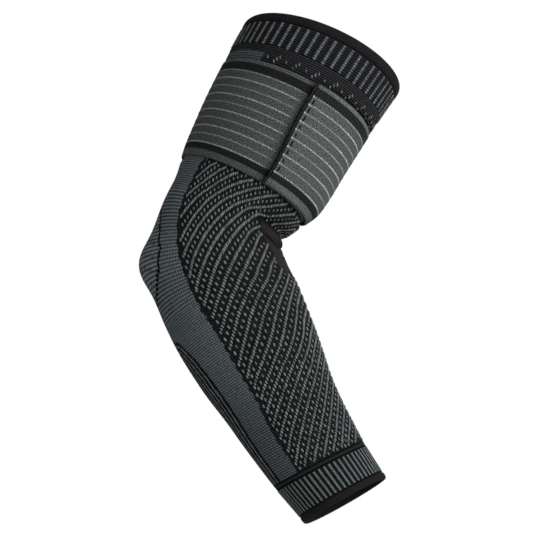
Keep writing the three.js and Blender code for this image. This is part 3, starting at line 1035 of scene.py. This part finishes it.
# Woven elastic webbing: rubber threads wound in dull polyester give a matt, grainy ground, and
# smoother pale threads in it catch the light. The weave is drawn at twice its real size
def strapMaterial():
    material, tree, shader = newMaterial("woven elastic webbing", 0.8)
    place = addNode(tree, "ShaderNodeUVMap", uv_map="knit")
    lengthwise, across = addNode(tree, "ShaderNodeSeparateXYZ", (place,)).outputs[:2]
    chart = addNode(tree, "ShaderNodeAttribute", attribute_name="chart").outputs["Color"]
    swing, waveGap = webbing["wave"]
    threads = []
    for part, gap in ((across, webbing["warpGap"]), (lengthwise, webbing["weftGap"]),
                      (lengthwise, waveGap)):
        thread = addNode(tree, "ShaderNodeMath", (part, 2 * math.pi / gap), "MULTIPLY")
        threads.append(addNode(tree, "ShaderNodeMath", (thread,), "SINE"))
    warp, weft, wave = threads
    weave = addNode(tree, "ShaderNodeMath", (warp, weft), "MULTIPLY")
    weave = addNode(tree, "ShaderNodeMath", (weave, 0.5, 0.5), "MULTIPLY_ADD")
    grain = addNode(tree, "ShaderNodeMapping", {"Vector": place, "Scale": webbing["grain"]})
    fleck = addNode(tree, "ShaderNodeTexNoise", {"Vector": grain, "Scale": 1.0, "Detail": 3.0})
    tone = addNode(tree, "ShaderNodeMapRange", {
        "Value": fleck, "From Min": 0.3, "From Max": 0.7,
        "To Min": 1 - webbing["fleck"], "To Max": 1 + webbing["fleck"]})
    shade = addNode(tree, "ShaderNodeMath", (weave, 0.4, 0.8), "MULTIPLY_ADD")
    shade = addNode(tree, "ShaderNodeMath", (tone, shade), "MULTIPLY")
    # Pale lines run along the strap, a little wavy
    number = across
    for value, share in ((wave, swing), (fleck, webbing["drift"])):
        number = addNode(tree, "ShaderNodeMath", (value, share, number), "MULTIPLY_ADD")
    for operation, value in (("SUBTRACT", webbing["firstLine"] + webbing["drift"] / 2),
                             ("DIVIDE", webbing["linePitch"])):
        number = addNode(tree, "ShaderNodeMath", (number, value), operation)
    whole = addNode(tree, "ShaderNodeMath", (number,), "ROUND")
    off = number
    for operation, value in (("SUBTRACT", whole), ("ABSOLUTE", 0),
                             ("MULTIPLY", webbing["linePitch"])):
        off = addNode(tree, "ShaderNodeMath", (off, value), operation)
    line = addNode(tree, "ShaderNodeMapRange", {
        "Value": off, "From Min": webbing["lineWidth"] / 2 - 0.15,
        "From Max": webbing["lineWidth"] / 2 + 0.2, "To Min": 1.0, "To Max": 0.0},
        interpolation_type="SMOOTHSTEP")
    count = webbing["lineCount"]
    inside = addNode(tree, "ShaderNodeMath", (whole, (count - 1) / 2, count / 2), "COMPARE")
    odd = whole
    for operation, *values in (("MULTIPLY", math.pi / 2), ("SINE",), ("ABSOLUTE",),
                               ("MULTIPLY_ADD", 1 - webbing["faint"], webbing["faint"])):
        odd = addNode(tree, "ShaderNodeMath", (odd, *values), operation)
    unbound = addNode(tree, "ShaderNodeMath", (lengthwise, webbing["boundTo"]), "GREATER_THAN")
    # Painted shadow: the lines fade out beside the fold
    start, end = (360 / turnPerLength - before for before in webbing["linesFade"])
    fade = addNode(tree, "ShaderNodeMapRange", {
        "Value": lengthwise, "From Min": start, "From Max": end, "To Min": 1.0, "To Max": 0.0})
    for share in (inside, odd, unbound, fade):
        line = addNode(tree, "ShaderNodeMath", (line, share), "MULTIPLY")
    # Painted highlight: the pale threads are lighter along part of the top layer
    start, full, hold, end = webbing["threadHighlightAt"]
    rise, fall = (addNode(tree, "ShaderNodeMapRange", {
        "Value": lengthwise, "From Min": low, "From Max": high, "To Min": first, "To Max": last},
        interpolation_type="SMOOTHSTEP")
        for low, high, first, last in ((start, full, 0, 1), (hold, end, 1, 0)))
    threadHighlight = addNode(tree, "ShaderNodeMath", (rise, fall), "MULTIPLY")
    threadHighlight = addNode(tree, "ShaderNodeMath", (threadHighlight, webbing["threadHighlight"], 1), "MULTIPLY_ADD")
    thread = addNode(tree, "ShaderNodeMix", {0: 1, 6: (*linear(webbing["line"]), 1), 7: threadHighlight},
                     data_type="RGBA", blend_type="MULTIPLY")
    pale = addNode(tree, "ShaderNodeMix", {0: line, 6: chart, 7: thread.outputs[2]},
                   data_type="RGBA")
    finishMaterial(tree, shader, pale.outputs[2], shade, weave, 0.6, 0.2)
    return material


def strapChart(along, across):
    color = np.empty(across.shape + (3,))
    color[:] = linear(webbing["field"])
    first, second, third, fourth = webbing["edges"]
    selvedge = (across < first) | (across > fourth)
    band = ~selvedge & ((across < second) | (across > third))
    color[selvedge] = linear(webbing["selvedge"])
    color[band] = linear(webbing["band"])
    # Painted highlight on the edges near the folded end
    start, full, hold, end = webbing["edgeHighlightAt"]
    edgeHighlight = smoothStep(along, start, full) * (1 - smoothStep(along, hold, end))
    color[selvedge] *= (1 + webbing["edgeHighlight"] * edgeHighlight)[selvedge][:, None]
    # Painted shadow of the fold on the lower layer beside it
    beside = (360 / turnPerLength - along) / webbing["foldShadowReach"]
    color *= (1 - webbing["shade"] * np.exp(-beside ** 2))[..., None]
    color[along < webbing["boundTo"]] = linear(webbing["foldEdge"])
    at, wide = webbing["foldRidgeAt"]
    color[np.abs(along - at) < wide] = linear(webbing["foldRidge"])
    topLayer = 1 - smoothStep(along, *webbing["topTo"])
    return color * (1 + (webbing["topLayer"] - 1) * topLayer)[..., None]


def finishStrap():
    along, across, points = buildStrap()
    rows, cols = points.shape[:2]
    # Columns along the strap are open, so their ends are closed by a row of their own
    back = np.concatenate([across, across[::-1]])
    mesh = bpy.data.meshes.new("strap_webbing")
    r = np.arange(rows)[:, None]
    c = np.arange(cols - 1)[None, :]
    below = (r + 1) % rows
    quads = np.stack([r * cols + c, below * cols + c, below * cols + c + 1, r * cols + c + 1], -1)
    quads = quads.reshape(-1, 4)
    half = rows // 2
    j = np.arange(half - 1)
    start = np.stack([j, rows - 1 - j, rows - 2 - j, j + 1], -1) * cols
    end = start[:, ::-1] + cols - 1
    faces = np.concatenate([quads, start[:, ::-1], end[:, ::-1]])
    mesh.from_pydata(points.reshape(-1, 3).tolist(), [], faces.tolist())
    mesh.update()
    v = faces.reshape(-1)
    uv = np.stack([along[v % cols], back[v // cols]], -1)
    layer = mesh.uv_layers.new(name="knit")
    layer.data.foreach_set("uv", uv.reshape(-1).astype(np.float32))
    middles = uv.reshape(-1, 4, 2).mean(1)
    color = np.repeat(strapChart(middles[:, 0], middles[:, 1])[:, None], 4, 1)
    full = np.concatenate([color, np.ones_like(color[..., :1])], -1)
    attribute = mesh.attributes.new("chart", "FLOAT_COLOR", "CORNER")
    attribute.data.foreach_set("color", full.reshape(-1).astype(np.float32))
    mesh.shade_smooth()
    piece = finished("strap_webbing", mesh, strapMaterial())
    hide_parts("strap")


finishStrap()
print("strap made")


# Beside the fold: a knot of pale thread on every line, and a seam of black thread between them.
# Sewing thread is spun finer and tighter than the yarns, so it is smoother

foldStitches = {
    "knots": {"color": "#c4c8c7", "roughness": 0.7, "twistScale": 2000},
    "knot": {"width": 1.0, "length": 1.6, "height": 0.9},
    "knotLean": 0.4,
    "knotRise": 0.1,
    "seam": {"color": "#0c0c0d", "roughness": 0.6, "twistScale": 2000},
    "stitch": {"width": 1.3, "length": 4.2, "height": 0.9},
    "sizes": (0.7, 1.05),
    "stitchAt": 0.55,    # share of the way from one line to the next
    "stitchRise": 0.25,
}


def buildFoldStitches():
    top = doubleInner + strap["thickness"]
    lines = webbing["firstLine"] + webbing["linePitch"] * np.arange(webbing["lineCount"])
    around = strap["endAngle"] + webbing["dotsAt"] * turnPerLength + 0 * lines
    down, aside, out = skinAxes(strap["top"] + lines, around)
    points = skinPoints(strap["top"] + lines, around, top + foldStitches["knotRise"])
    stitchPiece("fold_knots", points, down + foldStitches["knotLean"] * aside, out,
                foldStitches["knot"], yarnMaterial("pale thread", foldStitches["knots"]))
    across = lines[:-1] + foldStitches["stitchAt"] * webbing["linePitch"]
    size = np.random.default_rng(13).uniform(*foldStitches["sizes"], len(across))
    depth, at, wide = webbing["seam"]
    around = strap["endAngle"] + at * turnPerLength + 0 * across
    down, aside, out = skinAxes(strap["top"] + across, around)
    points = skinPoints(strap["top"] + across, around, top - depth + foldStitches["stitchRise"])
    stitchPiece("fold_seam", points, down, out, foldStitches["stitch"],
                yarnMaterial("black thread", foldStitches["seam"]), size)


buildFoldStitches()
print("seam beside the fold made")


# Hidden hook patch: the solid keeps its shape

# Nylon hook tape: rows of stiff, smooth hooks, glossier than the cloth and full of dark gaps. The
# hooks, 1.1 mm apart, are drawn coarser than real
def dressHookPatch():
    material, tree, shader = newMaterial("black nylon hook tape", 0.6, 0)
    spot = addNode(tree, "ShaderNodeTexCoord").outputs["Object"]
    grains = addNode(tree, "ShaderNodeTexVoronoi", {"Vector": spot, "Scale": 900.0})
    tone = addNode(tree, "ShaderNodeMapRange", {
        "Value": grains, "From Max": 0.8, "To Min": 1.4, "To Max": 0.5})
    bump = finishMaterial(tree, shader, (*linear("#1a1a1b"), 1), tone, grains, 0.8, 0.3)
    bump.invert = True
    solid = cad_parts["hook_patch"]
    solid.data.materials.clear()
    solid.data.materials.append(material)


dressHookPatch()

# Floor and light

studio = {
    "floorHeight": -0.37,
    "floorReach": 9.0,
    "floorColor": "#e8e8e6",
    "floorGlow": 0.5,    # seen only, so that it lights nothing
    "fill": 0.28,
    "lights": [
        # name, place, aims at, size, power
        ("key", (1.5, -1.0, 0.5), (0.04, 0, 0), 1.2, 30),
        ("front", (-0.3, -1.8, 0.5), (0.04, 0, 0), 1.6, 6),
        ("rim", (0.8, 1.2, 0.6), (0.04, 0, 0), 1.2, 5),
    ],
}


def buildStudio():
    mesh = bpy.data.meshes.new("floor")
    reach, level = studio["floorReach"], studio["floorHeight"]
    mesh.from_pydata([(-reach, -reach, level), (reach, -reach, level),
                      (reach, reach, level), (-reach, reach, level)], [], [(0, 1, 2, 3)])
    floor = bpy.data.objects.new("floor", mesh)
    bpy.context.scene.collection.objects.link(floor)
    # Seamless studio paper: even and matt
    material, tree, shader = newMaterial("pale matt floor", 0.9, 0)
    spot = addNode(tree, "ShaderNodeTexCoord").outputs["Object"]
    cloud = addNode(tree, "ShaderNodeTexNoise", {"Vector": spot, "Scale": 40.0})
    tone = addNode(tree, "ShaderNodeMapRange", {"Value": cloud, "To Min": 0.98, "To Max": 1.02})
    base = addNode(tree, "ShaderNodeMix", {
        0: 1, 6: (*linear(studio["floorColor"]), 1), 7: tone},
        data_type="RGBA", blend_type="MULTIPLY")
    tree.links.new(base.outputs[2], shader.inputs["Base Color"])
    seen = addNode(tree, "ShaderNodeLightPath")
    glow = addNode(tree, "ShaderNodeMath", (seen, studio["floorGlow"]), "MULTIPLY")
    tree.links.new(glow.outputs[0], shader.inputs["Emission Strength"])
    mesh.materials.append(material)
    world = bpy.data.worlds.new("studio")
    bpy.context.scene.world = world
    world.use_nodes = True
    tree = world.node_tree
    light = tree.nodes["Background"]
    light.inputs["Color"].default_value = (1, 1, 1, 1)
    seen = addNode(tree, "ShaderNodeLightPath")
    level = addNode(tree, "ShaderNodeMath", (seen, 1 - studio["fill"], studio["fill"]),
                    "MULTIPLY_ADD")
    tree.links.new(level.outputs[0], light.inputs["Strength"])
    for name, place, target, size, power in studio["lights"]:
        data = bpy.data.lights.new(name, "AREA")
        data.size = size
        data.energy = power
        lamp = bpy.data.objects.new(name, data)
        lamp.location = place
        aim = Vector(target) - Vector(place)
        lamp.rotation_euler = aim.to_track_quat("-Z", "Y").to_euler()
        bpy.context.scene.collection.objects.link(lamp)
    bpy.context.scene.view_settings.view_transform = "Standard"


buildStudio()
print("studio made")
